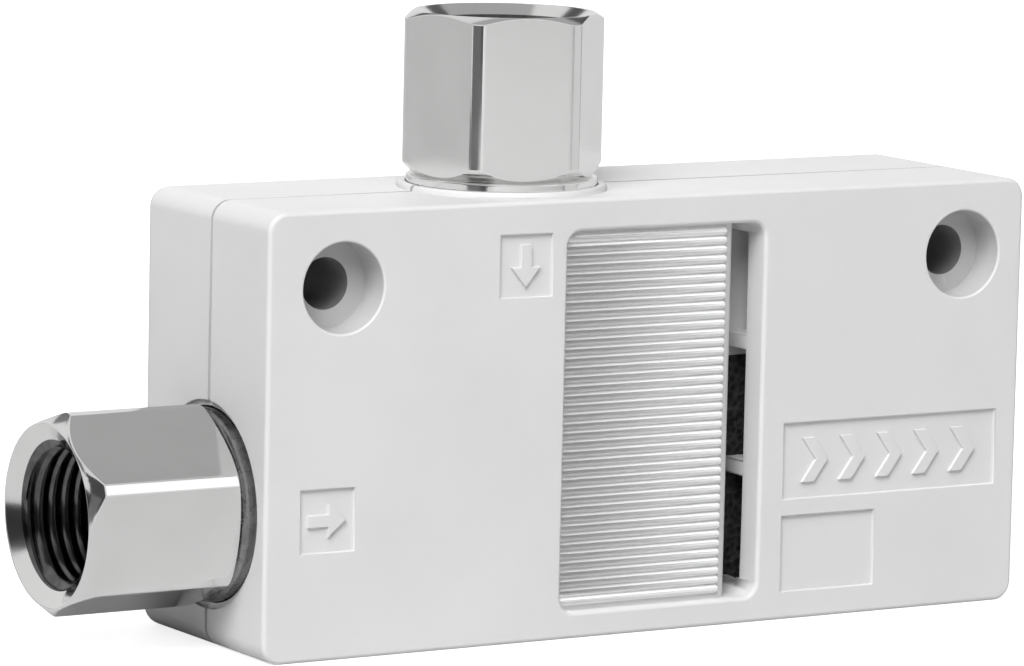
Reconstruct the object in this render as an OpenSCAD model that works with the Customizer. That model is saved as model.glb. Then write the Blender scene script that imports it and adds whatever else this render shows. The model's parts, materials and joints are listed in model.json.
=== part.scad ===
// Box type vacuum ejector with a built-in silencer: two moulded half shells
// clamp two female hex ports, a nozzle and a diffuser on one seam plane.
// Millimetres, +Z up. The origin is midway between the two mounting holes,
// on the flat back face; the ribbed exhaust front looks along -Y.

/* [Body] */
// Length of the moulded body
body_length = 58.4; // [58:0.1:62]
// Height of the moulded body
body_height = 29; // [28.5:0.5:32]
// Depth of the body, front to back
body_depth = 16.8; // [16.6:0.2:18]
// Depth of the front shell, from the front face to the seam
front_shell_depth = 7.8; // [7.6:0.1:8.2]
// Radius of the four corners seen from the front
corner_radius = 1.3; // [1.2:0.1:2]
// Radius of the edge round the front face
front_edge_radius = 0.3; // [0.2:0.1:1]
// Radius of the edge round the back face
rear_edge_radius = 1; // [0.4:0.1:1.1]
// Thickness of the moulded skin
skin = 1.3; // [1.2:0.1:1.5]
// Width and depth of the fine groove along the seam
seam_groove = 0.3; // [0.1:0.05:0.35]

/* [Mounting holes] */
// Distance between the two mounting holes
hole_pitch = 48; // [47:0.5:48.5]
// Distance of the left hole from the left end
hole_from_left = 5.5; // [5:0.5:6]
// Distance of both holes below the top face
hole_from_top = 5; // [4.5:0.5:5.5]
// Diameter of the through holes, for M3 screws
hole_diameter = 3.4; // [3.2:0.1:3.6]
// Diameter of the recess for the screw head
counterbore_diameter = 5.9; // [5.7:0.1:6.2]
// Depth of the recess for the screw head
counterbore_depth = 2.6; // [2:0.1:3]

/* [Ports] */
// Height of the pressure port's axis above the bottom face
pressure_height = 9.3; // [9:0.1:9.6]
// Distance of the vacuum port's axis from the left end
vacuum_from_left = 21.7; // [21:0.1:22]
// Across flats of both hexagons
hex_across_flats = 12; // [11.8:0.1:12.2]
// Diameter to which the hexagon's corners are turned down
hex_corner_diameter = 13.4; // [13.3:0.05:13.6]
// Bore of the Rc 1/8 thread, at its minor diameter
thread_bore = 8.566; // [8.4:0.002:8.7]
// How far the pressure port stands out of the body
pressure_reach = 11.55; // [11:0.05:12]
// How far the vacuum port stands out of the body
vacuum_reach = 11.65; // [11:0.05:12]
// Length of the chamfer at the pressure port's mouth
pressure_chamfer = 1; // [0.5:0.1:1]
// Length of the chamfer at the vacuum port's mouth
vacuum_chamfer = 0.5; // [0.5:0.1:1]
// Turn of the pressure hexagon: its nearest corner, upward from the front
pressure_turn = 22; // [0:1:59]
// Turn of the vacuum hexagon: its nearest corner, rightward from the front
vacuum_turn = 14; // [0:1:59]
// Height of the pressure hexagon's foot above the left end face
pressure_foot = 0.65; // [0.6:0.05:1]
// Height of the vacuum hexagon's foot above the top face
vacuum_foot = 0.85; // [0.8:0.05:1.2]
// Length of the chamfer at the foot of the pressure hexagon
pressure_foot_chamfer = 0.35; // [0.2:0.05:0.9]
// Length of the chamfer at the foot of the vacuum hexagon
vacuum_foot_chamfer = 0.85; // [0.2:0.05:0.9]
// Diameter of the round collar under each hexagon
collar_diameter = 12.6; // [12.4:0.1:12.8]
// Diameter of the sunk ring face round the pressure port
spot_face_diameter = 13.6; // [13.4:0.1:13.8]
// Depth of the sunk ring face round the pressure port
spot_face_depth = 0.3; // [0.2:0.05:0.4]
// Diameter of the raised ring round the vacuum port
boss_diameter = 13.9; // [13.7:0.1:14.2]
// Height of the raised ring round the vacuum port
boss_height = 0.35; // [0.2:0.05:0.5]

/* [Ejector] */
// Throat of the nozzle
nozzle_throat = 0.5; // [0.5:0.1:1]
// Throat of the diffuser
diffuser_throat = 0.9; // [0.8:0.1:1.3]
// Outer diameter of the nozzle and of the diffuser's seat
cartridge_diameter = 5.9; // [5.8:0.05:5.9]
// Thickness of the O-rings
ring_thickness = 1; // [0.9:0.05:1]

/* [Exhaust panel] */
// Distance of the recess from the left end
recess_from_left = 22.2; // [22:0.1:22.5]
// Width of the recess
recess_width = 15.3; // [15:0.05:15.4]
// Height of the recess's lower edge above the bottom face
recess_from_bottom = 1.75; // [1.7:0.05:2]
// Height of the recess
recess_height = 25.1; // [25:0.05:25.2]
// Number of ribs
rib_count = 40; // [20:1:45]
// Depth of the grooves between the ribs
rib_depth = 0.35; // [0.2:0.05:0.4]
// How far the rib crests lie below the front face
rib_sink = 0.3; // [0.2:0.05:0.4]
// Width of the slot to the right of the ribs
slot_width = 1.8; // [1.5:0.05:2]
// Depth of the slot, from the front face
slot_depth = 4.4; // [4:0.1:4.4]
// Thickness of the two bars between the windows in the slot's right wall
bar_thickness = 1.05; // [0.8:0.05:1.2]

/* [Label pockets] */
// Depth of the shallow pockets on the front
pocket_depth = 0.25; // [0.2:0.05:0.4]

/* [Hidden] */
$fn = 64;
hull_fn = 32;
overlap = 0.01;

// Faces of the body
left_end = -hole_pitch / 2 - hole_from_left;
top_face = hole_from_top;
bottom_face = top_face - body_height;
front_face = -body_depth;
seam = front_face + front_shell_depth;
rear_shell_depth = body_depth - front_shell_depth;

// Axes of the two ports, which lie on the seam
pressure_axis = bottom_face + pressure_height;
vacuum_axis = left_end + vacuum_from_left;

// Profile of a fitting: stations outward from the face of the body, and radii
collar_radius = collar_diameter / 2;
collar_edge = 0.4;
collar_foot = -1.6;
neck_radius = 4.9;
flange_radius = 5.6;
flange_top = -3;
flange_foot = -4.4;
fitting_foot = -8;
spigot_radius = 4.2;
spigot_bore_radius = 4.25;
fitting_ring = -6.1;
fitting_ring_seat = spigot_bore_radius - ring_thickness;
fitting_passage_radius = 2.2;
hex_foot_radius = 5.85;
rim_radius = 5.9;
countersink_slope = 2 / 3;
thread_length = 7.6;
drill_cone_height = 1.2;

// Play round the collar, and the chamfer on the raised ring round the vacuum port
collar_play = 0.1;
boss_chamfer = 0.15;

// Stations along the pressure axis, measured from the left end
nozzle_start = 8.6;
nozzle_flange_end = 9.8;
nozzle_ring = 12;
nozzle_cone_start = 13.6;
chamber_start = 14.6;
nozzle_throat_start = 16.2;
nozzle_tip = 17.6;
diffuser_mouth = 19.6;
diffuser_throat_start = 23.2;
chamber_end = 24.6;
diffuser_flange_end = 26;
diffuser_ring = 28.6;
diffuser_throat_end = 30;
exhaust_start = 31;
diffuser_end = 45;
exhaust_end = body_length - 1.8;

// Radii of the nozzle, the diffuser and their seats
cartridge_radius = cartridge_diameter / 2;
cartridge_bore_radius = 3;
cartridge_flange_radius = 3.95;
cartridge_flange_play = 0.05;
cartridge_ring_seat = cartridge_bore_radius - ring_thickness;
ring_groove_width = ring_thickness + 0.4;
nozzle_inlet_radius = 1.6;
nozzle_nose_radius = 2;
nozzle_tip_radius = 0.7;
diffuser_lip_radius = 1.8;
diffuser_bell_radius = 1.5;
diffuser_neck_radius = 2.5;
diffuser_tail_radius = 2.6;
diffuser_outlet_radius = 1.7;
suction_chamber_radius = 3.4;
suction_passage_radius = 2.4;

// The exhaust chamber, the web that carries the diffuser's tail, and the silencer
exhaust_floor = bottom_face + 2;
exhaust_roof = bottom_face + 17.4;
exhaust_back = -1.5;
exhaust_skin_front = front_face + skin;
exhaust_panel_front = front_face + 2.4;
web_start = 42;
web_thickness = 1.2;
web_top = bottom_face + 13;
pad_front = front_face + 4.5;
end_pad_start = 47;
end_pad_bore_depth = 4;

// The recess with its ribs, the panel's rounded right end and the slot beside it
recess_left = left_end + recess_from_left;
recess_right = recess_left + recess_width;
recess_bottom = bottom_face + recess_from_bottom;
recess_corner_radius = 1;
rib_lower_margin = 0.35;
rib_upper_margin = 0.2;
rib_pitch = (recess_height - rib_lower_margin - rib_upper_margin) / rib_count;
rib_crest_share = 0.14;
groove_depth = rib_sink + rib_depth;
curl_radius = 1.05;
rib_right = recess_right - slot_width - curl_radius;
slot_bottom = front_face + slot_depth;

// Windows in the slot's right wall: two open into the chamber, the top one is blind
slot_wall = 0.6;
window_front = front_face + 1.5;
window_right = recess_right + 1.8;
window_bottom = bottom_face + 2.5;
lower_bar = bottom_face + 9.8;
upper_bar = bottom_face + 18.3;
window_top = bottom_face + 26.2;

// Closed pockets that core out thick parts of both shells: [left, bottom, width, height]
core_pockets = [[10, 17.6, 3.8, 9.4], [31, 19, 16.5, 8]];
core_front = front_face + 5.5;
core_back = -1.5;

// Moulded pins that key the two shells: [from the left end, from the bottom face]
key_pins = [[9.5, 15.6], [28.5, 3.4], [50.5, 19.6]];
key_pin_radius = 0.75;
key_pin_height = 1.2;
key_hole_play = 0.05;

// Shallow pockets on the front: [left, bottom, width, height]
label_pockets = [
    [17.05, 22.75, 3.95, 4.1],
    [2.6, 7.05, 3.95, 4.1],
    [39.4, 8.15, 17.2, 5.1],
    [39.4, 1.9, 7.45, 5.1]
];

// Points of a rounded rectangle whose lower left corner is at [0, 0]
function rounded_outline(w, h, r) = [
    for (corner = [0:3], step = [0:hull_fn / 4])
        let (a = corner * 90 + step * 360 / hull_fn)
        [
            (corner == 0 || corner == 3 ? w - r : r) + r * cos(a),
            (corner < 2 ? h - r : r) + r * sin(a)
        ]
];

// Extrudes a front view, drawn in X and Z, from depth y towards the back
module front_view(x, y, z, thickness) {
    translate([x, y + thickness, z])
        rotate([90, 0, 0])
            linear_extrude(thickness)
                children();
}

// Revolves a profile of [radius, station from the left end] about the pressure axis
module about_pressure_axis() {
    translate([left_end, seam, pressure_axis])
        rotate([0, 90, 0])
            rotate_extrude()
                children();
}

module at_pressure_port() {
    translate([left_end, seam, pressure_axis])
        rotate([0, -90, 0])
            children();
}

module at_vacuum_port() {
    translate([vacuum_axis, seam, top_face])
        children();
}

// A round ring of the given thickness that sits on a seat of radius r
module o_ring(r) {
    rotate_extrude()
        translate([r + ring_thickness / 2, 0])
            circle(d = ring_thickness);
}

// Half of the body as a solid block: it stands on the seam, with its far edge rounded
module half_block(depth, edge_radius) {
    far = depth - edge_radius;
    rim = corner_radius - edge_radius;
    hull()
        for (x = [corner_radius, body_length - corner_radius])
            for (z = [corner_radius, body_height - corner_radius])
                translate([x, z, 0])
                    rotate_extrude($fn = hull_fn) {
                        square([corner_radius, far]);
                        square([rim, depth]);
                        translate([rim, far])
                            intersection() {
                                circle(edge_radius, $fn = hull_fn);
                                square(edge_radius);
                            }
                    }
}

// Room for a fitting, from its mouth above the body down to the bore that its O-ring seals
module fitting_socket() {
    socket_radius = collar_radius + collar_play;
    rotate_extrude()
        polygon([
            [0, boss_height + overlap],
            [socket_radius, boss_height + overlap],
            [socket_radius, collar_foot],
            [neck_radius, collar_foot],
            [neck_radius, flange_top],
            [flange_radius, flange_top],
            [flange_radius, flange_foot],
            [spigot_bore_radius, flange_foot],
            [spigot_bore_radius, fitting_foot],
            [0, fitting_foot]
        ]);
}

// The sunk ring face round the pressure port
module spot_face() {
    translate([0, 0, -spot_face_depth])
        cylinder(h = spot_face_depth + overlap, d = spot_face_diameter);
}

// The raised ring round the vacuum port, from inside the body up
module vacuum_port_boss() {
    boss_radius = boss_diameter / 2;
    at_vacuum_port()
        rotate_extrude()
            polygon([
                [0, -skin],
                [boss_radius, -skin],
                [boss_radius, boss_height - boss_chamfer],
                [boss_radius - boss_chamfer, boss_height],
                [0, boss_height]
            ]);
}

// Seats of the nozzle and the diffuser, with the suction chamber between them
module cartridge_seats() {
    flange_seat_radius = cartridge_flange_radius + cartridge_flange_play;
    about_pressure_axis()
        polygon([
            [0, -fitting_foot - overlap],
            [fitting_passage_radius, -fitting_foot - overlap],
            [fitting_passage_radius, nozzle_start],
            [flange_seat_radius, nozzle_start],
            [flange_seat_radius, nozzle_flange_end],
            [cartridge_bore_radius, nozzle_flange_end],
            [cartridge_bore_radius, chamber_start],
            [suction_chamber_radius, chamber_start],
            [suction_chamber_radius, chamber_end],
            [flange_seat_radius, chamber_end],
            [flange_seat_radius, diffuser_flange_end],
            [cartridge_bore_radius, diffuser_flange_end],
            [cartridge_bore_radius, exhaust_start + overlap],
            [0, exhaust_start + overlap]
        ]);
}

module suction_passage() {
    translate([vacuum_axis, seam, pressure_axis])
        cylinder(h = top_face + fitting_foot + overlap - pressure_axis, r = suction_passage_radius);
}

// The exhaust chamber: it comes closer to the front on the right of the slot's wall
module exhaust_chamber() {
    room_height = exhaust_roof - exhaust_floor;
    skin_room_left = recess_right + slot_wall;
    difference() {
        union() {
            translate([left_end + exhaust_start, exhaust_panel_front, exhaust_floor])
                cube([exhaust_end - exhaust_start, exhaust_back - exhaust_panel_front, room_height]);
            translate([skin_room_left, exhaust_skin_front, exhaust_floor])
                cube([left_end + exhaust_end - skin_room_left, skin + 1, room_height]);
        }
        difference() {
            translate([left_end + web_start, front_face, bottom_face])
                cube([web_thickness, body_depth, web_top - bottom_face]);
            about_pressure_axis()
                translate([0, exhaust_start])
                    square([diffuser_tail_radius, diffuser_end - exhaust_start]);
        }
        translate([recess_right, front_face, bottom_face])
            cube([slot_wall, slot_depth, body_height]);
        slot_bars();
    }
}

// The two bars between the windows, which run on to the right as ribs under the skin
module slot_bars() {
    for (z = [lower_bar, upper_bar])
        translate([recess_right, front_face, z])
            cube([window_right - recess_right, slot_depth, bar_thickness]);
}

// The windows in the slot's right wall
module slot_windows() {
    spans = [
        [window_bottom, lower_bar],
        [lower_bar + bar_thickness, upper_bar],
        [upper_bar + bar_thickness, window_top]
    ];
    for (span = spans)
        translate([recess_right - overlap, window_front, span[0]])
            cube([window_right - recess_right + overlap, slot_bottom - window_front, span[1] - span[0]]);
}

module core_spaces() {
    for (p = core_pockets)
        translate([left_end + p[0], core_front, bottom_face + p[1]])
            cube([p[2], core_back - core_front, p[3]]);
}

module inner_spaces() {
    at_pressure_port() fitting_socket();
    at_pressure_port() spot_face();
    at_vacuum_port() fitting_socket();
    cartridge_seats();
    suction_passage();
    exhaust_chamber();
    core_spaces();
}

module mounting_holes() {
    for (x = [-hole_pitch / 2, hole_pitch / 2])
        translate([x, 0, 0])
            rotate([90, 0, 0]) {
                translate([0, 0, -1])
                    cylinder(h = body_depth + 2, d = hole_diameter);
                translate([0, 0, body_depth - counterbore_depth])
                    cylinder(h = counterbore_depth + 1, d = counterbore_diameter);
            }
}

// Height and depth of every corner of the ribs, one ridge after another
function rib_corners() = [
    for (i = [0:rib_count - 1], corner = [[0, 1], [0.5 - rib_crest_share, 0], [0.5 + rib_crest_share, 0]])
        [rib_sink + rib_depth * corner[1], rib_lower_margin + (i + corner[0]) * rib_pitch]
];

// The space in front of the ribbed panel
module rib_space() {
    translate([recess_left - 1, front_face, recess_bottom])
        rotate([90, 0, 90])
            linear_extrude(rib_right - recess_left + 1 + overlap)
                polygon(concat(
                    [[groove_depth, -1], [groove_depth, 0]],
                    rib_corners(),
                    [[groove_depth, recess_height - rib_upper_margin], [groove_depth, recess_height + 1]],
                    [[-1, recess_height + 1], [-1, -1]]
                ));
}

// The space of the slot and in front of the panel's rounded end, seen from above
module slot_space() {
    curl_depth = groove_depth + curl_radius;
    translate([rib_right, front_face, recess_bottom - 1])
        linear_extrude(recess_height + 2)
            difference() {
                translate([0, -1])
                    square([curl_radius + slot_width + 1, slot_depth + 1]);
                translate([0, curl_depth]) {
                    circle(curl_radius);
                    square([curl_radius, slot_depth]);
                }
            }
}

module exhaust_recess() {
    intersection() {
        front_view(recess_left, front_face - 1, recess_bottom, slot_depth + 2)
            polygon(rounded_outline(recess_width, recess_height, recess_corner_radius));
        union() {
            rib_space();
            slot_space();
        }
    }
}

module label_spaces() {
    for (p = label_pockets)
        translate([left_end + p[0], front_face - 1, bottom_face + p[1]])
            cube([p[2], pocket_depth + 1, p[3]]);
}

module key_features(r, height) {
    for (p = key_pins)
        translate([left_end + p[0], seam + overlap, bottom_face + p[1]])
            rotate([90, 0, 0])
                cylinder(h = height + overlap, r = r);
}

// The fine groove round the outside of the seam, in the front shell
module seam_groove_space() {
    front_view(left_end, seam - seam_groove, bottom_face, seam_groove + overlap)
        difference() {
            translate([-1, -1])
                square([body_length + 2, body_height + 2]);
            translate([seam_groove, seam_groove])
                polygon(rounded_outline(
                    body_length - 2 * seam_groove,
                    body_height - 2 * seam_groove,
                    corner_radius - seam_groove
                ));
        }
}

// Front half shell with the ribbed exhaust panel, the slot and the screw recesses
module front_shell() {
    color("gainsboro")
        difference() {
            union() {
                translate([left_end, seam, bottom_face])
                    rotate([90, 0, 0])
                        half_block(front_shell_depth, front_edge_radius);
                intersection() {
                    vacuum_port_boss();
                    translate([left_end, front_face, bottom_face])
                        cube([body_length, front_shell_depth, body_height + boss_height]);
                }
            }
            inner_spaces();
            mounting_holes();
            exhaust_recess();
            slot_windows();
            label_spaces();
            seam_groove_space();
            key_features(key_pin_radius + key_hole_play, key_pin_height + key_hole_play);
        }
}

// Rear half shell with the flat mounting face
module rear_shell() {
    color("lightgray") {
        difference() {
            union() {
                translate([left_end, seam, bottom_face])
                    mirror([0, 1, 0])
                        rotate([90, 0, 0])
                            half_block(rear_shell_depth, rear_edge_radius);
                intersection() {
                    vacuum_port_boss();
                    translate([left_end, seam, bottom_face])
                        cube([body_length, rear_shell_depth, body_height + boss_height]);
                }
            }
            inner_spaces();
            mounting_holes();
        }
        key_features(key_pin_radius, key_pin_height);
    }
}

// The turned hexagon with its chamfered ends, from its foot to its mouth
module fitting_hexagon(foot, reach, foot_chamfer, mouth_chamfer, turn) {
    corner = hex_corner_diameter / 2;
    intersection() {
        rotate([0, 0, turn - 90])
            cylinder(h = reach + 1, d = hex_across_flats / cos(30), $fn = 6);
        rotate_extrude()
            polygon([
                [0, foot - overlap],
                [hex_foot_radius, foot - overlap],
                [corner, foot + foot_chamfer],
                [corner, reach - mouth_chamfer],
                [rim_radius, reach],
                [0, reach]
            ]);
    }
}

// Collar with its rounded edge, and the neck, flange and spigot which the two shells clamp
module fitting_stem(foot) {
    rounded_edge = [
        for (a = [90:-15:0])
            [collar_radius - collar_edge * (1 - cos(a)), foot - collar_edge * (1 - sin(a))]
    ];
    rotate_extrude()
        polygon(concat([[0, foot]], rounded_edge, [
            [collar_radius, collar_foot],
            [neck_radius, collar_foot],
            [neck_radius, flange_top],
            [flange_radius, flange_top],
            [flange_radius, flange_foot],
            [spigot_radius, flange_foot],
            [spigot_radius, fitting_ring + ring_groove_width / 2],
            [fitting_ring_seat, fitting_ring + ring_groove_width / 2],
            [fitting_ring_seat, fitting_ring - ring_groove_width / 2],
            [spigot_radius, fitting_ring - ring_groove_width / 2],
            [spigot_radius, fitting_foot],
            [0, fitting_foot]
        ]));
}

// Countersunk mouth, thread bore, drill cone and passage
module fitting_bore(reach) {
    thread_radius = thread_bore / 2;
    thread_top = reach - (rim_radius - thread_radius) * countersink_slope;
    thread_foot = thread_top - thread_length;
    rotate_extrude()
        polygon([
            [0, reach + 1],
            [rim_radius + 1 / countersink_slope, reach + 1],
            [thread_radius, thread_top],
            [thread_radius, thread_foot],
            [fitting_passage_radius, thread_foot - drill_cone_height],
            [fitting_passage_radius, fitting_foot - 1],
            [0, fitting_foot - 1]
        ]);
}

module port_fitting(foot, reach, foot_chamfer, mouth_chamfer, turn) {
    color("silver")
        difference() {
            union() {
                fitting_hexagon(foot, reach, foot_chamfer, mouth_chamfer, turn);
                fitting_stem(foot);
            }
            fitting_bore(reach);
        }
}

module pressure_port_fitting() {
    at_pressure_port()
        port_fitting(
            pressure_foot, pressure_reach, pressure_foot_chamfer, pressure_chamfer, pressure_turn
        );
}

module vacuum_port_fitting() {
    at_vacuum_port()
        port_fitting(vacuum_foot, vacuum_reach, vacuum_foot_chamfer, vacuum_chamfer, vacuum_turn);
}

module pressure_port_o_ring() {
    color("dimgray") at_pressure_port() translate([0, 0, fitting_ring]) o_ring(fitting_ring_seat);
}

module vacuum_port_o_ring() {
    color("dimgray") at_vacuum_port() translate([0, 0, fitting_ring]) o_ring(fitting_ring_seat);
}

// O-ring of a cartridge at the given station on the pressure axis
module cartridge_o_ring(station) {
    color("dimgray")
        at_pressure_port()
            translate([0, 0, -station])
                o_ring(cartridge_ring_seat);
}

module nozzle_o_ring() {
    cartridge_o_ring(nozzle_ring);
}

module diffuser_o_ring() {
    cartridge_o_ring(diffuser_ring);
}

// Nozzle: the air narrows to the throat and leaves at the tip
module nozzle() {
    groove_start = nozzle_ring - ring_groove_width / 2;
    color("goldenrod")
        about_pressure_axis()
            polygon([
                [nozzle_inlet_radius, nozzle_start],
                [cartridge_flange_radius, nozzle_start],
                [cartridge_flange_radius, nozzle_flange_end],
                [cartridge_radius, nozzle_flange_end],
                [cartridge_radius, groove_start],
                [cartridge_ring_seat, groove_start],
                [cartridge_ring_seat, groove_start + ring_groove_width],
                [cartridge_radius, groove_start + ring_groove_width],
                [cartridge_radius, chamber_start],
                [nozzle_nose_radius, chamber_start],
                [nozzle_tip_radius, nozzle_tip],
                [nozzle_throat / 2, nozzle_tip],
                [nozzle_throat / 2, nozzle_throat_start],
                [nozzle_inlet_radius, nozzle_cone_start]
            ]);
}

// Diffuser: the mixed air enters the bell, passes the throat and slows in the long cone
module diffuser() {
    groove_start = diffuser_ring - ring_groove_width / 2;
    color("goldenrod")
        about_pressure_axis()
            polygon([
                [diffuser_bell_radius, diffuser_mouth],
                [diffuser_lip_radius, diffuser_mouth],
                [diffuser_neck_radius, chamber_end],
                [cartridge_flange_radius, chamber_end],
                [cartridge_flange_radius, diffuser_flange_end],
                [cartridge_radius, diffuser_flange_end],
                [cartridge_radius, groove_start],
                [cartridge_ring_seat, groove_start],
                [cartridge_ring_seat, groove_start + ring_groove_width],
                [cartridge_radius, groove_start + ring_groove_width],
                [cartridge_radius, exhaust_start],
                [diffuser_tail_radius, exhaust_start],
                [diffuser_tail_radius, diffuser_end],
                [diffuser_outlet_radius, diffuser_end],
                [diffuser_throat / 2, diffuser_throat_end],
                [diffuser_throat / 2, diffuser_throat_start]
            ]);
}

// Foam between two depths, cut out round the diffuser's tail
module silencer_pad(start, end, front, back) {
    color("darkslategray")
        difference() {
            translate([left_end + start, front, exhaust_floor])
                cube([end - start, back - front, exhaust_roof - exhaust_floor]);
            about_pressure_axis()
                translate([0, exhaust_start - 1])
                    square([diffuser_tail_radius, end_pad_start + end_pad_bore_depth - exhaust_start + 1]);
        }
}

module silencer_front_pad() {
    silencer_pad(exhaust_start, web_start, pad_front, seam);
}

module silencer_rear_pad() {
    silencer_pad(exhaust_start, web_start, seam, exhaust_back);
}

module silencer_end_pad() {
    silencer_pad(end_pad_start, exhaust_end, exhaust_skin_front, exhaust_back);
}

front_shell();
rear_shell();
pressure_port_fitting();
vacuum_port_fitting();
pressure_port_o_ring();
vacuum_port_o_ring();
nozzle();
nozzle_o_ring();
diffuser();
diffuser_o_ring();
silencer_front_pad();
silencer_rear_pad();
silencer_end_pad();
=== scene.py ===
import json
import math

import bmesh
import bpy
from mathutils import Matrix, Vector


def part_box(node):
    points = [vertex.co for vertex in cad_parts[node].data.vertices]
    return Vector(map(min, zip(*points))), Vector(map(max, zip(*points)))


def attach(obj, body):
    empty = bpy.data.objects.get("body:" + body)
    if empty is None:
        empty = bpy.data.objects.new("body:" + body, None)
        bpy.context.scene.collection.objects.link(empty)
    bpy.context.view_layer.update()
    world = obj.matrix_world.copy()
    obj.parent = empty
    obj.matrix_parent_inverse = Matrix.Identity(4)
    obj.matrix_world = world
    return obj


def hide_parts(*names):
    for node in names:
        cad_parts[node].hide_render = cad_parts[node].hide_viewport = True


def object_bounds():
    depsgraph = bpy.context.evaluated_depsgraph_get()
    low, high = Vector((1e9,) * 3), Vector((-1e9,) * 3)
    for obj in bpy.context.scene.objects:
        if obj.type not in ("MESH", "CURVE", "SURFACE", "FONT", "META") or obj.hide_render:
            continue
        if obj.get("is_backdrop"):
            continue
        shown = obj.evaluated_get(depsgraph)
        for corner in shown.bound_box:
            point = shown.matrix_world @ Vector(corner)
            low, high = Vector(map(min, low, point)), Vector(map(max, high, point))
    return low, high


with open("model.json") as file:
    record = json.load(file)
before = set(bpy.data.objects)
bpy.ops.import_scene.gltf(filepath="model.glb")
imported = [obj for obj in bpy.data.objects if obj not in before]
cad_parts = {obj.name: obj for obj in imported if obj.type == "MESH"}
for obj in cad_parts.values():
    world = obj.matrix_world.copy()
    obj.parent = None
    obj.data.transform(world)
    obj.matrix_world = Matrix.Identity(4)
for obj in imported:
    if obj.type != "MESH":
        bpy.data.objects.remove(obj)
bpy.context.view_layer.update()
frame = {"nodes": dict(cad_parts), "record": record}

MM = 0.001


# ---------------------------------------------------------------- the frame
# Lengths are in millimetres, with the frame's axes. finish_piece() turns them into metres.

def box(node):
    """Lowest and highest corner of a CAD node, in millimetres."""
    low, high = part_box(node)
    return low / MM, high / MM


def mount(name):
    """Place of a mount of the record, in millimetres."""
    for entry in frame["record"]["mounts"]:
        if entry["name"] == name:
            return Vector(entry["pos_m"]) / MM
    raise KeyError(name)


def middle_of_object():
    """Middle of the whole object, in metres."""
    low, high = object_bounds()
    return (low + high) / 2


def direction(azimuth, elevation):
    """Unit vector: azimuth 0 looks from the front, and grows towards the right. In degrees."""
    a, e = math.radians(azimuth), math.radians(elevation)
    return Vector((math.sin(a) * math.cos(e), -math.cos(a) * math.cos(e), math.sin(e)))


def add_object(name, data):
    """A new object in the scene, at the origin."""
    thing = bpy.data.objects.new(name, data)
    bpy.context.scene.collection.objects.link(thing)
    return thing


# The boss round the vacuum port stands this far above the top of the body
BOSS_HEIGHT = 0.35

FRONT_LOW, FRONT_HIGH = box("front_shell")
LEFT, RIGHT = FRONT_LOW.x, FRONT_HIGH.x
FRONT, SEAM = FRONT_LOW.y, FRONT_HIGH.y
BOTTOM, TOP = FRONT_LOW.z, FRONT_HIGH.z - BOSS_HEIGHT

PRESSURE_PORT = mount("pressure_port")
VACUUM_PORT = mount("vacuum_port")
PRESSURE_REACH = LEFT - box("pressure_port_fitting")[0].x
VACUUM_REACH = box("vacuum_port_fitting")[1].z - TOP


# ------------------------------------------------------------------- camera

CAMERA_AZIMUTH = -31.365
CAMERA_ELEVATION = 7.838
CAMERA_ROLL = 1.267
CAMERA_DISTANCE = 407.69
# How far the camera aims right of the object's middle, and above it
CAMERA_AIM = (-0.274, -1.2)
CAMERA_LENS = 216.58


def make_camera():
    """A long lens, left of the front and a little above, aimed close to the object's middle."""
    data = bpy.data.cameras.new("camera")
    data.lens = CAMERA_LENS
    data.clip_start = 0.01
    data.clip_end = 50
    camera = add_object("camera", data)
    back = direction(CAMERA_AZIMUTH, CAMERA_ELEVATION)
    azimuth = math.radians(CAMERA_AZIMUTH)
    level = Vector((math.cos(azimuth), math.sin(azimuth), 0))
    right = Matrix.Rotation(-math.radians(CAMERA_ROLL), 3, -back) @ level
    up = back.cross(right)
    aim = middle_of_object() + (CAMERA_AIM[0] * right + CAMERA_AIM[1] * up) * MM
    turned = Matrix((right, up, back)).transposed().to_4x4()
    camera.matrix_world = Matrix.Translation(aim + back * CAMERA_DISTANCE * MM) @ turned
    bpy.context.scene.camera = camera


make_camera()


# ---------------------------------------------------------------- materials

def add_node(tree, kind, sockets=None, **settings):
    """Adds a shader node; each entry of sockets is a value, or another node's output."""
    node = tree.nodes.new(kind)
    for name, value in settings.items():
        setattr(node, name, value)
    for name, value in (sockets or {}).items():
        if isinstance(value, bpy.types.NodeSocket):
            tree.links.new(value, node.inputs[name])
        else:
            node.inputs[name].default_value = value
    return node


def grey(level):
    """A grey as red, green and blue."""
    return level, level, level


def new_material(name, roughness, metallic=0.0):
    """A material with a plain shader, and its node tree, shader and object coordinates."""
    material = bpy.data.materials.new(name)
    material.use_nodes = True
    tree = material.node_tree
    shader = tree.nodes["Principled BSDF"]
    shader.inputs["Roughness"].default_value = roughness
    shader.inputs["Metallic"].default_value = metallic
    place = add_node(tree, "ShaderNodeTexCoord").outputs["Object"]
    return material, tree, shader, place


def noise(tree, place, size, detail=2.0, roughness=0.5):
    """Noise whose grains are about the given size in millimetres."""
    return add_node(tree, "ShaderNodeTexNoise", {
        "Vector": place, "Scale": 1 / (size * MM), "Detail": detail, "Roughness": roughness,
    }).outputs["Fac"]


def spread(tree, value, low, high, source_low=0.3, source_high=0.7):
    """Maps a value, most often of noise, to the range from low to high."""
    return add_node(tree, "ShaderNodeMapRange", {
        "Value": value, "From Min": source_low, "From Max": source_high,
        "To Min": low, "To Max": high,
    }).outputs["Result"]


def vary_color(tree, shader, value, dark, light):
    """Colours the surface between two tones by a value from 0 to 1."""
    mix = add_node(tree, "ShaderNodeMix", {"Factor": value}, data_type="RGBA")
    mix.inputs["A"].default_value = (*dark, 1)
    mix.inputs["B"].default_value = (*light, 1)
    tree.links.new(mix.outputs["Result"], shader.inputs["Base Color"])


def vary_roughness(tree, shader, value):
    """Gives the surface the roughness of a value."""
    tree.links.new(value, shader.inputs["Roughness"])


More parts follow.
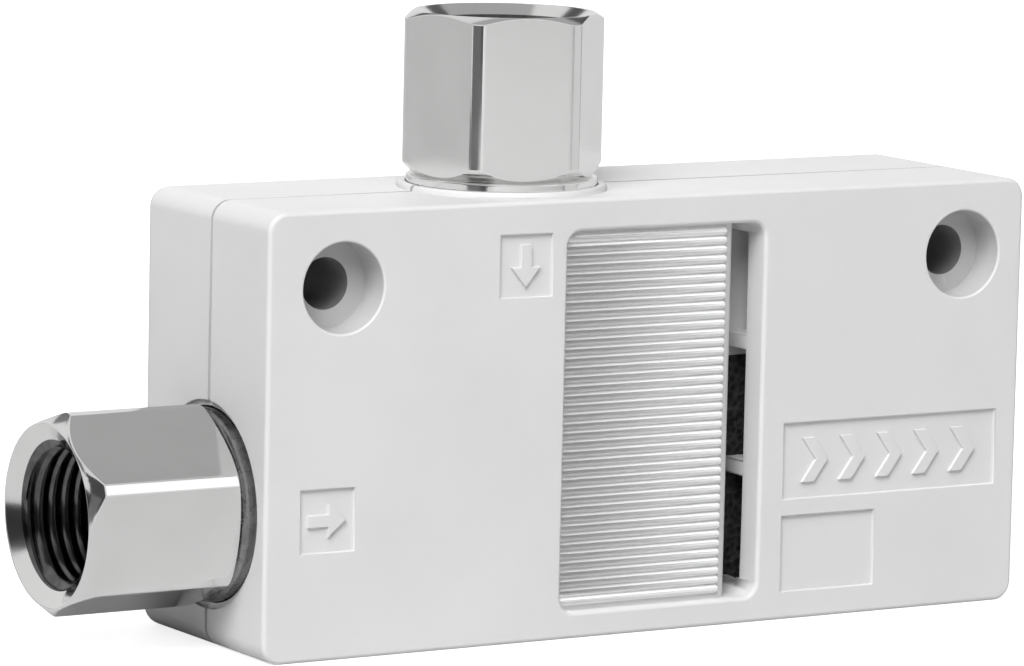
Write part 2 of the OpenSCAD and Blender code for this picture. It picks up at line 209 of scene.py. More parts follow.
def add_bump(tree, shader, height, distance, strength=1.0):
    """Bumps the surface; distance is the height of the bumps in millimetres."""
    bump = add_node(tree, "ShaderNodeBump", {
        "Height": height, "Distance": distance * MM, "Strength": strength,
    })
    tree.links.new(bump.outputs["Normal"], shader.inputs["Normal"])


def make_plastic(name, dark, light):
    """Light grey moulded plastic: a fine satin grain, with faint flow clouds in its tone."""
    material, tree, shader, place = new_material(name, 0.42)
    clouds = noise(tree, place, size=9.0, detail=3.0)
    grain = noise(tree, place, size=0.16, detail=4.0, roughness=0.6)
    vary_color(tree, shader, spread(tree, clouds, 0, 1), grey(dark), grey(light))
    vary_roughness(tree, shader, spread(tree, grain, 0.38, 0.5))
    add_bump(tree, shader, grain, distance=0.012, strength=0.5)
    return material


def make_plated_metal():
    """Nickel plate over turned brass: bright, with fine scratches and a soft haze."""
    material, tree, shader, place = new_material("plated_metal", 0.14, 1.0)
    haze = noise(tree, place, size=3.5, detail=3.0)
    scratches = noise(tree, place, size=0.09, detail=3.0, roughness=0.6)
    vary_color(tree, shader, spread(tree, haze, 0, 1), (0.79, 0.79, 0.785), (0.83, 0.83, 0.825))
    vary_roughness(tree, shader, spread(tree, haze, 0.11, 0.17))
    add_bump(tree, shader, scratches, distance=0.002, strength=0.4)
    return material


def make_painted_shade_metal(name, dark, light, gloss, haze):
    """Turned metal darkened with painted shade, for the threads and the clamped collar."""
    material, tree, shader, place = new_material(name, gloss, 1.0)
    blotches = noise(tree, place, size=0.8, detail=3.0)
    vary_color(tree, shader, spread(tree, blotches, 0, 1), grey(dark), grey(light))
    vary_roughness(tree, shader, spread(tree, blotches, gloss, haze))
    marks = noise(tree, place, size=0.1, detail=3.0)
    add_bump(tree, shader, marks, distance=0.002, strength=0.4)
    return material


def make_jet_brass():
    """Turned brass of the nozzle and the diffuser, with fine rings along the pressure axis."""
    material, tree, shader, place = new_material("jet_brass", 0.25, 1.0)
    rings = add_node(tree, "ShaderNodeTexWave", {
        "Vector": place, "Scale": 1 / (0.6 * MM), "Distortion": 0.4, "Detail": 1.0,
    }, bands_direction="X").outputs["Fac"]
    tarnish = noise(tree, place, size=2.5, detail=4.0)
    vary_color(tree, shader, spread(tree, tarnish, 0, 1), (0.62, 0.42, 0.16), (0.78, 0.58, 0.26))
    vary_roughness(tree, shader, spread(tree, tarnish, 0.2, 0.34))
    add_bump(tree, shader, rings, distance=0.004, strength=0.5)
    return material


def make_seal_rubber():
    """Black nitrile rubber with a dusty bloom."""
    material, tree, shader, place = new_material("seal_rubber", 0.5)
    bloom = noise(tree, place, size=0.8, detail=4.0)
    vary_color(tree, shader, spread(tree, bloom, 0, 1), grey(0.012), grey(0.03))
    vary_roughness(tree, shader, spread(tree, bloom, 0.42, 0.6))
    skin = noise(tree, place, size=0.1, detail=3.0)
    add_bump(tree, shader, skin, distance=0.004, strength=0.5)
    return material


def make_silencer_foam():
    """Dark open-celled foam."""
    material, tree, shader, place = new_material("silencer_foam", 0.95)
    cells = add_node(tree, "ShaderNodeTexVoronoi", {"Vector": place, "Scale": 1 / (0.45 * MM)})
    depth = cells.outputs["Distance"]
    tone = spread(tree, depth, 0, 1, 0.0, 0.8)
    vary_color(tree, shader, tone, (0.008, 0.008, 0.009), (0.06, 0.06, 0.064))
    vary_roughness(tree, shader, spread(tree, depth, 0.85, 1.0, 0.0, 0.8))
    add_bump(tree, shader, depth, distance=0.25)
    return material


shell_plastic = make_plastic("shell_plastic", 0.685, 0.715)
# A lighter copy of the shell's plastic: painted highlight on the ribs
painted_highlight_plastic = make_plastic("painted_highlight_plastic", 0.95, 0.97)
# Darker copies of the shell's plastic: painted shade in the screw heads' recesses, the seam's
# groove and on the rear half's mating face, and deeper painted shade in the holes' bores
painted_shade_plastic = make_plastic("painted_shade_plastic", 0.52, 0.56)
shaded_plastic = make_plastic("shaded_plastic", 0.27, 0.31)
plated_metal = make_plated_metal()
# Metal darkened with painted shade: the threads deep in the mouths, and the collar of the pressure
# port
thread_painted_shade_metal = make_painted_shade_metal("thread_painted_shade_metal", 0.09, 0.16, gloss=0.14, haze=0.24)
collar_painted_shade_metal = make_painted_shade_metal("collar_painted_shade_metal", 0.2, 0.32, gloss=0.2, haze=0.34)
jet_brass = make_jet_brass()
seal_rubber = make_seal_rubber()
silencer_foam = make_silencer_foam()

NODE_MATERIALS = {
    "front_shell": shell_plastic,
    "rear_shell": shell_plastic,
    "pressure_port_fitting": plated_metal,
    "vacuum_port_fitting": plated_metal,
    "pressure_port_o_ring": seal_rubber,
    "vacuum_port_o_ring": seal_rubber,
    "nozzle": jet_brass,
    "nozzle_o_ring": seal_rubber,
    "diffuser": jet_brass,
    "diffuser_o_ring": seal_rubber,
    "silencer_front_pad": silencer_foam,
    "silencer_rear_pad": silencer_foam,
    "silencer_end_pad": silencer_foam,
}

for node_name, node_material in NODE_MATERIALS.items():
    node_mesh = frame["nodes"][node_name].data
    node_mesh.materials.clear()
    node_mesh.materials.append(node_material)


# ------------------------------------------------------------------- pieces

# Edges that turn by more than this many degrees stay sharp
METAL_SHARP = 35
PLASTIC_SHARP = 40


def finish_piece(name, bm, materials, sharp_angle, replaced=None):
    """Turns a mesh in millimetres into a piece in metres that rides on the body."""
    bmesh.ops.recalc_face_normals(bm, faces=bm.faces)
    bmesh.ops.scale(bm, vec=(MM, MM, MM), verts=bm.verts)
    mesh = bpy.data.meshes.new(name)
    bm.to_mesh(mesh)
    bm.free()
    mesh.shade_smooth()
    mesh.set_sharp_from_angle(angle=math.radians(sharp_angle))
    for material in materials:
        mesh.materials.append(material)
    piece = add_object(name, mesh)
    normals = piece.modifiers.new("flat_faces_stay_flat", "WEIGHTED_NORMAL")
    normals.keep_sharp = True
    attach(piece, "root")
    if replaced:
        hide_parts(replaced)


# ------------------------------------------------------------ port fittings
# A fitting is a closed skin of rows that run round its axis. Its own frame has
# the axis outward, and stations along it are counted from the face of the body.
# A slope or taper is how much the radius of a cone changes for each millimetre of that.

# Radii of the hexagon, its foot, the rim of its mouth, the collar and the passage
HEX_APOTHEM = 6.0
HEX_CORNER = 6.7
HEX_FOOT = 5.85
RIM = 5.9
COLLAR = 6.3
PASSAGE = 2.2

COLLAR_STEPS = 6
DRILL_CONE = 1.2

# The crest is a radius at the mouth, the length is along the axis, the run-out is in turns
THREAD_PITCH = 0.907
THREAD_HEIGHT = 0.581
THREAD_CREST = 4.283
THREAD_TAPER = 1 / 32
THREAD_LENGTH = 7.6
THREAD_STEPS = 8
THREAD_RUN_OUT = 1.4

# The countersink gets this much deeper for each millimetre that it narrows
COUNTERSINK_DEPTH = 2 / 3

# Half of the softened band along an edge, measured along the axis, and how much it takes off
EDGE_BAND = 0.07
EDGE_BLEND = 0.07
BAND_PARTS = (-1, -0.5, 0, 0.5, 1)

# The rim is rounded from this far behind the mouth to this far down the countersink
RIM_OUTSIDE = 0.03
RIM_INSIDE = 0.16
RIM_STEPS = 4

# Angles across a sector in degrees: half of it, steps on half a flat, half an edge's softened band
HALF_SECTOR = 30
FLAT_STEPS = 7
EDGE_TURN = 1.0

# The hidden part that the shells clamp: radius and station, from the foot up to the collar
STEM_FOOT = -8
STEM = [
    (4.2, STEM_FOOT), (4.2, -6.8), (3.25, -6.8), (3.25, -5.4), (4.2, -5.4), (4.2, -4.4),
    (5.6, -4.4), (5.6, -3), (4.9, -3), (4.9, -1.6), (COLLAR, -1.6),
]

# Rows at the same place are joined within this distance
JOIN_DISTANCE = 0.0005


def smooth_min(a, b, blend):
    """The lower of two values, rounded off where they are close."""
    closeness = max(blend - abs(a - b), 0) / blend
    return min(a, b) - closeness * closeness * blend / 4


def sector_angles():
    """Angles across one sixth of the hexagon from the middle of its flat, in radians."""
    edge = math.degrees(math.acos(HEX_APOTHEM / HEX_CORNER))
    half = [edge * step / FLAT_STEPS for step in range(FLAT_STEPS)]
    half += [edge + EDGE_TURN * part for part in BAND_PARTS]
    half += [(edge + EDGE_TURN + HALF_SECTOR) / 2]
    return [math.radians(a) for a in [-HALF_SECTOR] + [-a for a in reversed(half)] + half[1:]]


def rounded_edge(center, radius, steps, start, end):
    """Points of an arc, as radius and station, between two angles in degrees."""
    turns = [math.radians(start + (end - start) * step / steps) for step in range(steps + 1)]
    return [(center[0] + radius * math.cos(a), center[1] + radius * math.sin(a)) for a in turns]


def fitting_rows(port, reach):
    """All rows of a fitting, and the index of the first thread row.

    A row gives radius and station for an angle within its sector and a share of the full turn.
    """
    foot = port["foot"]
    foot_slope = (HEX_CORNER - HEX_FOOT) / port["foot_chamfer"]
    mouth_slope = (HEX_CORNER - RIM) / port["mouth_chamfer"]
    rim_start = reach - RIM_OUTSIDE
    thread_foot = reach - (RIM - THREAD_CREST) * COUNTERSINK_DEPTH - THREAD_LENGTH
    thread_root = THREAD_CREST + THREAD_HEIGHT
    thread_top = reach - (RIM - thread_root) / (1 / COUNTERSINK_DEPTH - THREAD_TAPER)

    def side(angle):
        return smooth_min(HEX_APOTHEM / math.cos(angle), HEX_CORNER, EDGE_BLEND)

    def outside(angle, s):
        cones = min(HEX_FOOT + (s - foot) * foot_slope, RIM + (reach - s) * mouth_slope)
        return smooth_min(side(angle), cones, EDGE_BLEND)

    def fixed(r, s):
        return lambda angle, turn: (r, s)

    def foot_circle(angle, turn):
        return outside(angle, foot), foot

    def near_foot(offset):
        def row(angle, turn):
            s = max(foot + (side(angle) - HEX_FOOT) / foot_slope + offset, foot)
            return outside(angle, s), s
        return row

    def near_mouth(offset):
        def row(angle, turn):
            s = min(reach - (side(angle) - RIM) / mouth_slope + offset, rim_start)
            return outside(angle, s), s
        return row

    def thread(step):
        def row(angle, turn):
            s = thread_top + THREAD_PITCH * (turn - step / THREAD_STEPS)
            s = min(max(s, thread_foot), thread_top)
            phase = (s - thread_top) / THREAD_PITCH - turn
            ridge = 0.5 + 0.5 * math.cos(2 * math.pi * phase)
            fade = min((s - thread_foot) / (THREAD_RUN_OUT * THREAD_PITCH), 1)
            crest = THREAD_CREST - (reach - s) * THREAD_TAPER
            countersink = RIM - (reach - s) / COUNTERSINK_DEPTH
            return max(crest + THREAD_HEIGHT * ridge * fade, countersink), s
        return row

    edge = port["collar_edge"]
    collar = rounded_edge((COLLAR - edge, foot - edge), edge, COLLAR_STEPS, 0, 90)
    offsets = [EDGE_BAND * part for part in BAND_PARTS]
    outer = [fixed(r, s) for r, s in STEM + collar]
    outer += [foot_circle] + [near_foot(offset) for offset in offsets]
    outer += [near_mouth(offset) for offset in offsets]

    tip_out = Vector((RIM + RIM_OUTSIDE * mouth_slope, rim_start))
    tip = Vector((RIM, reach))
    tip_in = tip + Vector((-1, -COUNTERSINK_DEPTH)).normalized() * RIM_INSIDE
    for step in range(RIM_STEPS + 1):
        t = step / RIM_STEPS
        point = tip_out * (1 - t) ** 2 + tip * 2 * t * (1 - t) + tip_in * t * t
        outer.append(fixed(point.x, point.y))

    turns = math.ceil((thread_top - thread_foot) / THREAD_PITCH) + 1
    threads = [thread(step) for step in range((turns + 1) * THREAD_STEPS)]
    bore_foot = THREAD_CREST - (reach - thread_foot) * THREAD_TAPER
    bore = [(bore_foot, thread_foot), (PASSAGE, thread_foot - DRILL_CONE), (PASSAGE, STEM_FOOT)]
    return outer + threads + [fixed(r, s) for r, s in bore], len(outer)


def port_fitting(name, node, place, reach, port):
    """A turned hexagon with a taper thread in its mouth."""
    rows, first_thread = fitting_rows(port, reach)
    columns = []
    start = math.radians(port["turn"] - 90)
    for sector in range(6):
        middle = start + math.radians(HALF_SECTOR * (2 * sector + 1))
        columns += [(angle, middle + angle) for angle in sector_angles()]
    first_angle, first_around = columns[0]
    columns.append((first_angle, first_around + 2 * math.pi))

    bm = bmesh.new()
    grid = []
    for angle, around in columns:
        turn = (around - first_around) / (2 * math.pi)
        ring = []
        for row in rows:
            r, s = row(angle, turn)
            point = Vector((r * math.cos(around), r * math.sin(around), s))
            ring.append(bm.verts.new(place @ point))
        grid.append(ring)
    for here, there in zip(grid, grid[1:]):
        for row in range(len(rows)):
            above = (row + 1) % len(rows)
            face = bm.faces.new((here[row], there[row], there[above], here[above]))
            # Thread rows get the metal with painted shade, and so does the collar where the port
            # asks for it
            if row >= first_thread:
                face.material_index = 1
            elif port["painted_shade_collar"] and row < len(STEM) + COLLAR_STEPS:
                face.material_index = 2
    bmesh.ops.remove_doubles(bm, verts=bm.verts, dist=JOIN_DISTANCE)
    metals = [plated_metal, thread_painted_shade_metal]
    if port["painted_shade_collar"]:
        metals.append(collar_painted_shade_metal)
    finish_piece(name, bm, metals, METAL_SHARP, node)


# Stations of the hexagon's foot, lengths of its chamfers along the axis, its turn in degrees, the
# radius that rounds its collar's edge, and whether its collar gets painted shade
PRESSURE_HEXAGON = {
    "foot": 0.65, "foot_chamfer": 0.35, "mouth_chamfer": 1.0,
    "turn": 22, "collar_edge": 0.4, "painted_shade_collar": True,
}
VACUUM_HEXAGON = {
    "foot": 0.85, "foot_chamfer": 0.85, "mouth_chamfer": 0.5,
    "turn": 14, "collar_edge": 0.15, "painted_shade_collar": False,
}

pressure_place = Matrix.Translation((LEFT, PRESSURE_PORT.y, PRESSURE_PORT.z))
port_fitting(
    "pressure_fitting", "pressure_port_fitting",
    pressure_place @ Matrix.Rotation(math.radians(-90), 4, "Y"), PRESSURE_REACH, PRESSURE_HEXAGON,
)
port_fitting(
    "vacuum_fitting", "vacuum_port_fitting",
    Matrix.Translation((VACUUM_PORT.x, VACUUM_PORT.y, TOP)), VACUUM_REACH, VACUUM_HEXAGON,
)


# ------------------------------------------------------------------- shells

BODY_CORNER = 1.3
SEAM_GROOVE = 0.3
POCKET_DEPTH = 0.25

RECESS_LEFT = LEFT + 22.2
RECESS_RIGHT = RECESS_LEFT + 15.3
RECESS_BOTTOM = BOTTOM + 1.75
RECESS_TOP = RECESS_BOTTOM + 25.1

# The crests of the ribs, how far behind them the painted highlight goes, and where the curl starts
RIB_CREST = FRONT + 0.3
RIB_DEPTH = 0.34
RIB_RIGHT = RECESS_RIGHT - 2.8

# The windows in the slot's right wall, and how far their front edge moves back; the edges of the
# bars between them, and how far these move down
WINDOW_FRONT = FRONT + 1.5
WINDOW_BACK = FRONT + 4.5
WINDOW_RIGHT = RECESS_RIGHT + 1.9
WINDOW_SETBACK = 0.6
BAR_EDGES = [BOTTOM + z for z in (9.8, 10.85, 18.3, 19.35)]
BAR_DROP = 0.27

# The two screw holes: their axes, where the wall and the floor of a head's recess start, and
# radii that hold the hole, the recess and the recess's rim
HOLES = [Vector((x, 0, 0)) for x in (LEFT + 5.5, LEFT + 53.5)]
SCREW_FLOOR = FRONT + 2.65
SCREW_WALL = FRONT + 0.2
HOLE_REACH = 1.75
SCREW_REACH = 2.98
SCREW_RIM_REACH = 3.2

# The widths of the softened edges
RECESS_EDGE = 0.28
SCREW_EDGE = 0.15
FRONT_EDGE = 0.09
RIB_EDGE = 0.083
WINDOW_EDGE = 0.12
SEAM_EDGE = 0.03

# How far a point may be past a limit, or from the outline, to count as on it
TOLERANCE = 0.01
OUTLINE_TOLERANCE = 0.03

# Points of a solid this close are one, and triangles whose turn in degrees is less are one face
SAME_POINT = 0.001
FLAT_ANGLE = 0.5


def near(a, b, tolerance=0.004):
    """Whether two lengths are the same."""
    return abs(a - b) < tolerance


def near_hole(p, reach):
    """Whether a point is within reach of the axis of a screw hole."""
    return any(math.hypot(p.x - hole.x, p.z - hole.z) < reach for hole in HOLES)


def on_outline(p):
    """Whether a point is on the outer faces of the body, seen from the front."""
    across = max(abs(p.x - (LEFT + RIGHT) / 2) - (RIGHT - LEFT) / 2 + BODY_CORNER, 0)
    upward = max(abs(p.z - (BOTTOM + TOP) / 2) - (TOP - BOTTOM) / 2 + BODY_CORNER, 0)
    return near(math.hypot(across, upward), BODY_CORNER, OUTLINE_TOLERANCE)


def in_recess(p):
    """Whether a point is on or within the outline of the ribbed recess."""
    return (RECESS_LEFT - TOLERANCE < p.x < RECESS_RIGHT + TOLERANCE
            and RECESS_BOTTOM - TOLERANCE < p.z < RECESS_TOP + TOLERANCE)


def on_ribs(p):
    """Whether a point is on the ribs, left of where they curl back."""
    in_depth = RIB_CREST - TOLERANCE < p.y < RIB_CREST + RIB_DEPTH
    return in_depth and in_recess(p) and p.x < RIB_RIGHT


def in_windows(p):
    """Whether a point is on the windows in the slot's right wall."""
    return RECESS_RIGHT - 2 * TOLERANCE < p.x < WINDOW_RIGHT and p.y < WINDOW_BACK


def in_hole(p):
    """Whether a point is on the wall of a through hole, behind the recess for the screw head."""
    return p.y > SCREW_FLOOR and near_hole(p, HOLE_REACH)


def in_screw_recess(p):
    """Whether a point is on the wall or the floor of a recess for a screw head."""
    return p.y > SCREW_WALL and near_hole(p, SCREW_REACH)


def in_seam(p):
    """Whether a point is on the walls of the fine groove along the seam."""
    margin = SEAM_GROOVE + 2 * TOLERANCE
    inside = (LEFT + margin < p.x < RIGHT - margin
              and BOTTOM + margin < p.z < TOP - margin)
    return SEAM - SEAM_GROOVE + TOLERANCE < p.y < SEAM - TOLERANCE and not inside


def round_edges(bm, test, width, segments=2, least_angle=25):
    """Rounds the outward sharp edges whose ends both pass the test."""
    edges = [
        edge for edge in bm.edges
        if edge.is_manifold and edge.is_convex
        and edge.calc_face_angle() > math.radians(least_angle)
        and all(test(vert.co) for vert in edge.verts)
    ]
    bmesh.ops.bevel(
        bm, geom=edges, offset=width, offset_type="OFFSET", segments=segments, profile=0.5,
        affect="EDGES", clamp_overlap=False,
    )


def move_corners(bm, test, offset):
    """Moves the corners that pass the test."""
    bmesh.ops.translate(bm, vec=offset, verts=[vert for vert in bm.verts if test(vert.co)])


def paint(bm, choose):
    """Gives each face the material whose index choose() returns for the face's middle."""
    for face in bm.faces:
        face.material_index = choose(face.calc_center_median())


def shell_mesh(node):
    """A shell's solid with its triangles joined into flat faces, in millimetres."""
    bm = bmesh.new()
    bm.from_mesh(frame["nodes"][node].data)
    bmesh.ops.scale(bm, vec=(1 / MM, 1 / MM, 1 / MM), verts=bm.verts)
    bmesh.ops.remove_doubles(bm, verts=bm.verts, dist=SAME_POINT)
    bmesh.ops.dissolve_limit(
        bm, angle_limit=math.radians(FLAT_ANGLE), verts=bm.verts, edges=bm.edges)
    return bm


def front_shell():
    """The front half, with the slot's windows and bars moved to where the photo has them."""
    bm = shell_mesh("front_shell")
    move_corners(
        bm, lambda p: in_windows(p) and near(p.y, WINDOW_FRONT), (0, WINDOW_SETBACK, 0))
    move_corners(
        bm, lambda p: in_windows(p) and any(near(p.z, z) for z in BAR_EDGES), (0, 0, -BAR_DROP))

    round_edges(bm, lambda p: near(p.y, FRONT) and in_recess(p), RECESS_EDGE, 4)
    round_edges(
        bm, lambda p: near(p.y, FRONT) and near_hole(p, SCREW_RIM_REACH), SCREW_EDGE, 3)
    round_edges(bm, lambda p: near(p.y, FRONT), FRONT_EDGE)
    round_edges(bm, lambda p: near(p.y, RIB_CREST) and in_recess(p), RIB_EDGE, 4)
    round_edges(
        bm, lambda p: near(p.x, RECESS_RIGHT) and p.y > WINDOW_FRONT - TOLERANCE, WINDOW_EDGE)
    round_edges(bm, lambda p: near(p.y, SEAM - SEAM_GROOVE) and on_outline(p), SEAM_EDGE, 1)

    # Painted highlight on the ribs, deeper painted shade in the holes' bores, painted shade in the
    # screw heads' recesses and the seam's groove
    def choose(p):
        if on_ribs(p):
            return 1
        if in_hole(p):
            return 2
        return 3 if in_screw_recess(p) or in_seam(p) else 0

    paint(bm, choose)
    plastics = [shell_plastic, painted_highlight_plastic, shaded_plastic, painted_shade_plastic]
    finish_piece("front_half", bm, plastics, PLASTIC_SHARP, "front_shell")


def rear_shell():
    """The rear half, with painted shade on its mating face, which shows in the groove of the seam,
    and deeper painted shade in its holes' bores.
    """
    bm = shell_mesh("rear_shell")
    round_edges(bm, lambda p: near(p.y, SEAM) and on_outline(p), SEAM_EDGE, 1)

    # Deeper painted shade in the holes' bores, painted shade on the mating face
    def choose(p):
        if in_hole(p):
            return 1
        return 2 if near(p.y, SEAM) else 0

    paint(bm, choose)
    plastics = [shell_plastic, shaded_plastic, painted_shade_plastic]
    finish_piece("rear_half", bm, plastics, PLASTIC_SHARP, "rear_shell")


front_shell()
rear_shell()


# -------------------------------------------------------------------- marks
# Plain raised signs in the shallow pockets. Outlines are drawn in X and Z, and
# places are counted from the body's lower left corner.

# How far the signs start under the floor of their pocket, and the width of their softened edges
MARK_SINK = 0.02
MARK_EDGE = 0.08

PRESSURE_MARK = (4.575, 9.1)
VACUUM_MARK = (19.025, 24.8)
FLOW_MARKS = [(42 + 3 * step, 10.7) for step in range(5)]


def arrow(length, width, shaft, head):
    """An arrow that points to the right, round its middle."""
    neck = length / 2 - head
    return [
        (-length / 2, -shaft / 2), (neck, -shaft / 2), (neck, -width / 2), (length / 2, 0),
        (neck, width / 2), (neck, shaft / 2), (-length / 2, shaft / 2),
    ]


def chevron(height, stroke, point):
    """A chevron that points to the right, round its middle."""
    x = -(stroke + point) / 2
    return [
        (x, -height / 2), (x + stroke, -height / 2), (x + stroke + point, 0),
        (x + stroke, height / 2), (x, height / 2), (x + point, 0),
    ]


def raised_marks(name, outline, places, turn=0):
    """Copies of an outline that stand up from the floor of a pocket, with softened edges."""
    bm = bmesh.new()
    cos, sin = math.cos(math.radians(turn)), math.sin(math.radians(turn))
    floor_y = FRONT + POCKET_DEPTH + MARK_SINK
    for place_x, place_z in places:
        floor = []
        for x, z in outline:
            across, upward = place_x + x * cos - z * sin, place_z + x * sin + z * cos
            floor.append(bm.verts.new((LEFT + across, floor_y, BOTTOM + upward)))
        face = bm.faces.new(floor)
        top = bmesh.ops.extrude_face_region(bm, geom=[face])["geom"]
        raised = [item for item in top if isinstance(item, bmesh.types.BMVert)]
        bmesh.ops.translate(bm, vec=(0, -POCKET_DEPTH, 0), verts=raised)
    bmesh.ops.recalc_face_normals(bm, faces=bm.faces)
    round_edges(bm, lambda p: near(p.y, floor_y - POCKET_DEPTH), MARK_EDGE)
    finish_piece(name, bm, [shell_plastic], PLASTIC_SHARP)


port_arrow = arrow(length=2.8, width=2.2, shaft=0.8, head=1.3)
raised_marks("pressure_mark", port_arrow, [PRESSURE_MARK])
raised_marks("vacuum_mark", port_arrow, [VACUUM_MARK], -90)
raised_marks("flow_marks", chevron(height=3.0, stroke=1.0, point=1.1), FLOW_MARKS)


# -------------------------------------------------------------------- stage

FLOOR_SIDE = 8000
FLOOR_GREY = 0.6
FLOOR_GLOW = 0.8

# The world's light on dull surfaces, the share of it that comes from behind, and how far to the
# front and the back the change between the two reaches
SOFT_LIGHT = 0.2
BACK_SHARE = 0.25
BACK_BLEND = 0.4

# How far the lights are from the object's middle, in metres
LIGHT_DISTANCE = 0.9


def rectangle(name, width, height, z=0):
    """A flat rectangle round the Z axis, facing up, in millimetres."""
    corners = [(-1, -1), (1, -1), (1, 1), (-1, 1)]
    mesh = bpy.data.meshes.new(name)
    mesh.from_pydata(
        [(x * width / 2 * MM, y * height / 2 * MM, z * MM) for x, y in corners], [], [(0, 1, 2, 3)])
    return add_object(name, mesh)


def empty_material(name):
    """A material without nodes, and its node tree."""
    material = bpy.data.materials.new(name)
    material.use_nodes = True
    material.node_tree.nodes.clear()
    return material, material.node_tree


def math_node(tree, operation, a, b):
    """The result of an operation on two values or outputs."""
    return add_node(tree, "ShaderNodeMath", {0: a, 1: b}, operation=operation).outputs[0]


def make_floor():
    """A pale floor that stays white to the camera and keeps the object's shadow."""
    floor = rectangle("floor", FLOOR_SIDE, FLOOR_SIDE, BOTTOM)
    material, tree = empty_material("pale_floor")
    diffuse = add_node(tree, "ShaderNodeBsdfDiffuse", {"Color": (*grey(FLOOR_GREY), 1)})
    path = add_node(tree, "ShaderNodeLightPath").outputs
    strength = math_node(tree, "MULTIPLY", path["Is Camera Ray"], FLOOR_GLOW)
    glow = add_node(tree, "ShaderNodeEmission", {"Strength": strength})
    both = add_node(tree, "ShaderNodeAddShader", {0: diffuse.outputs[0], 1: glow.outputs[0]})
    add_node(tree, "ShaderNodeOutputMaterial", {"Surface": both.outputs[0]})
    floor.data.materials.append(material)
    floor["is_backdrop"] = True


def make_world():
    """Soft light, weaker from behind; the camera, and what shines or is clear, sees white."""
    world = bpy.data.worlds.new("studio")
    bpy.context.scene.world = world
    world.use_nodes = True
    tree = world.node_tree
    tree.nodes.clear()
    path = add_node(tree, "ShaderNodeLightPath").outputs
    shiny = math_node(tree, "MAXIMUM", path["Is Glossy Ray"], path["Is Transmission Ray"])
    seen = math_node(tree, "MAXIMUM", path["Is Camera Ray"], shiny)
    from_where = add_node(tree, "ShaderNodeTexCoord").outputs["Generated"]
    backward = add_node(tree, "ShaderNodeSeparateXYZ", {"Vector": from_where}).outputs["Y"]
    level = spread(tree, backward, SOFT_LIGHT, SOFT_LIGHT * BACK_SHARE, -BACK_BLEND, BACK_BLEND)
    soft = add_node(tree, "ShaderNodeBackground", {"Strength": level})
    white = add_node(tree, "ShaderNodeBackground", {"Strength": 1.0})
    mix = add_node(tree, "ShaderNodeMixShader", {
        0: seen, 1: soft.outputs[0], 2: white.outputs[0],
    })
    add_node(tree, "ShaderNodeOutputWorld", {"Surface": mix.outputs[0]})


def place_facing(thing, middle, away, distance, facing):
    """Puts a thing at a distance in metres along away, with its Z axis along facing."""
    thing.location = middle + away * distance
    thing.rotation_mode = "QUATERNION"
    thing.rotation_quaternion = facing.to_track_quat("Z", "Y")


def area_light(name, azimuth, elevation, size, power):
    """A rectangular light that shines at the object's middle; shiny surfaces don't show it."""
    data = bpy.data.lights.new(name, "AREA")
    data.shape = "RECTANGLE"
    data.size, data.size_y = size
    data.energy = power
    light = add_object(name, data)
    away = direction(azimuth, elevation)
    place_facing(light, middle_of_object(), away, LIGHT_DISTANCE, away)
    light.visible_glossy = False


def grey_card(name, origin, azimuth, elevation, distance, size, level):
    """A card that only shiny surfaces see, from one side, in the given grey.

    It faces its origin, from which its distance is counted. All lengths are in millimetres.
    """
    card = rectangle(name, *size)
    away = direction(azimuth, elevation)
    place_facing(card, Vector(origin) * MM, away, distance * MM, -away)
    material, tree = empty_material(name)
    glow = add_node(tree, "ShaderNodeEmission", {"Strength": level})
    clear = add_node(tree, "ShaderNodeBsdfTransparent")
    side = add_node(tree, "ShaderNodeNewGeometry").outputs["Backfacing"]
    mix = add_node(tree, "ShaderNodeMixShader", {
        0: side, 1: glow.outputs[0], 2: clear.outputs[0],
    })
    add_node(tree, "ShaderNodeOutputMaterial", {"Surface": mix.outputs[0]})
    card.data.materials.append(material)
    card.visible_camera = False
    card.visible_diffuse = False
    card.visible_shadow = False
    card.visible_transmission = False
    card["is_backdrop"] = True


make_floor()
make_world()

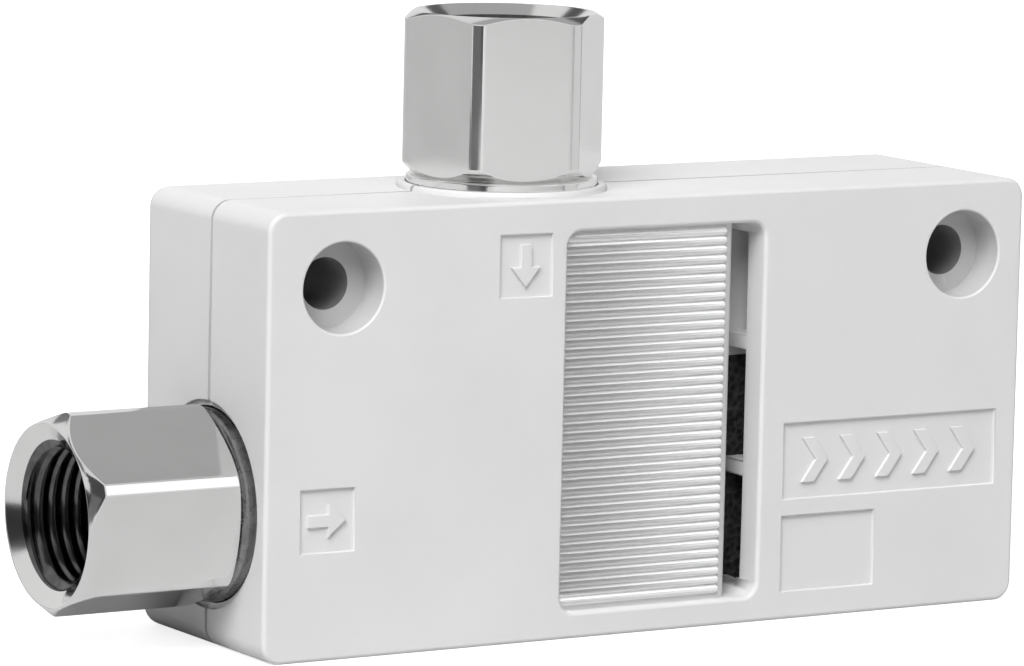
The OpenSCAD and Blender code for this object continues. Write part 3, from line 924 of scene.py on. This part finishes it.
# Azimuth, elevation, sides in metres and power in watts
area_light("key_light", -45, 45, (0.5, 0.5), 9.5)
area_light("top_light", -10, 75, (0.5, 0.5), 1.4)
area_light("back_light", 160, 22, (0.5, 0.4), 3.4)

# Where the cards' directions start: the middles of the hexagons, their mouths, the body's left side
HALF_HEX = 6
HEX_P = (LEFT - HALF_HEX, PRESSURE_PORT.y, PRESSURE_PORT.z)
HEX_V = (VACUUM_PORT.x, VACUUM_PORT.y, TOP + HALF_HEX)
MOUTH_P = (LEFT - PRESSURE_REACH, PRESSURE_PORT.y, PRESSURE_PORT.z)
MOUTH_V = (VACUUM_PORT.x, VACUUM_PORT.y, TOP + VACUUM_REACH)
BESIDE_BODY = (LEFT - 5, PRESSURE_PORT.y + 0.4, TOP - 6.5)

# Each card: its origin, azimuth, elevation, distance, width and height, and grey.
# What the pressure port mirrors: the flat above, the bright strip with its dark line, the collar
grey_card("flat_above_card", HEX_P, 98, 59, 400, (400, 400), 0.43)
grey_card("body_side_card", BESIDE_BODY, 90, 0, 4.8, (15.6, 13), 0.43)
grey_card("strip_card", HEX_P, 36, 28, 300, (100, 90), 1.3)
grey_card("strip_line_card", HEX_P, 44, 42, 300, (50, 36), 0.06)
grey_card("high_left_card", HEX_P, -100, 48, 300, (170, 170), 0.2)
grey_card("corner_card", MOUTH_P, -52, 22, 130, (100, 90), 0.07)
grey_card("mouth_band_card", MOUTH_P, -86, 5, 50, (30, 26), 0.03)
grey_card("chamfer_card", MOUTH_P, 188, 40, 300, (130, 110), 0.2)

# What the vacuum port mirrors: three flats, the dark strip, and the inside of its mouth
grey_card("strip_shade_card", HEX_V, -66, -6, 150, (52, 60), 0.16)
grey_card("left_flat_card", HEX_V, -121, -6, 160, (150, 60), 0.58)
grey_card("right_flat_card", HEX_V, 116, -4, 190, (190, 60), 0.72)
grey_card("right_strip_card", HEX_V, 60, -7, 160, (60, 40), 0.72)
grey_card("mouth_left_card", MOUTH_V, 174, 31, 300, (90, 90), 0.08)
grey_card("mouth_right_card", MOUTH_V, 123, 31, 300, (90, 90), 0.08)

scene = bpy.context.scene
scene.view_settings.view_transform = "Standard"
